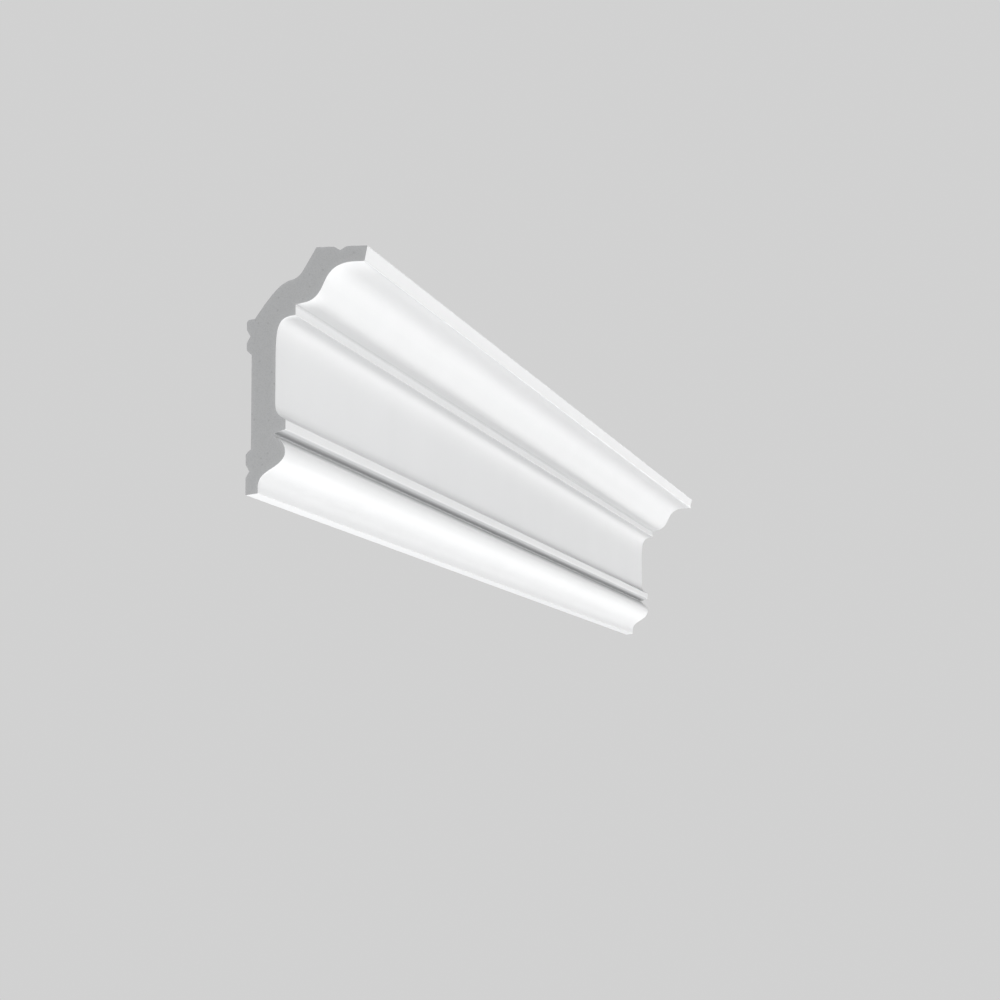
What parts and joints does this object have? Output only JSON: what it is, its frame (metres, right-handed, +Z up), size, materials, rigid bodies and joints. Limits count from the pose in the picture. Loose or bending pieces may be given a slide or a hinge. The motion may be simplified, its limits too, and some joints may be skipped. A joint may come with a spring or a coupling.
{
  "type": "cornice moulding length",
  "caption": "Straight length of white cornice moulding whose stepped and curved section closes the corner between wall and ceiling, with keyed glue pads behind and square cut ends.",
  "frame": {"origin": "on the wall face of the foot's glue pad, half way along the length", "axes": "+X along the length, +Y into the wall, +Z up to the ceiling; the moulded face looks to -Y"},
  "size_m": [1, 0.05, 0.1],
  "materials": {
    "primed_foam": "smooth matte white primer over moulded foam, bare grey foam on the cut ends"
  },
  "bodies": {
    "root": {"cornice_length": "primed_foam"}
  },
  "joints": []
}
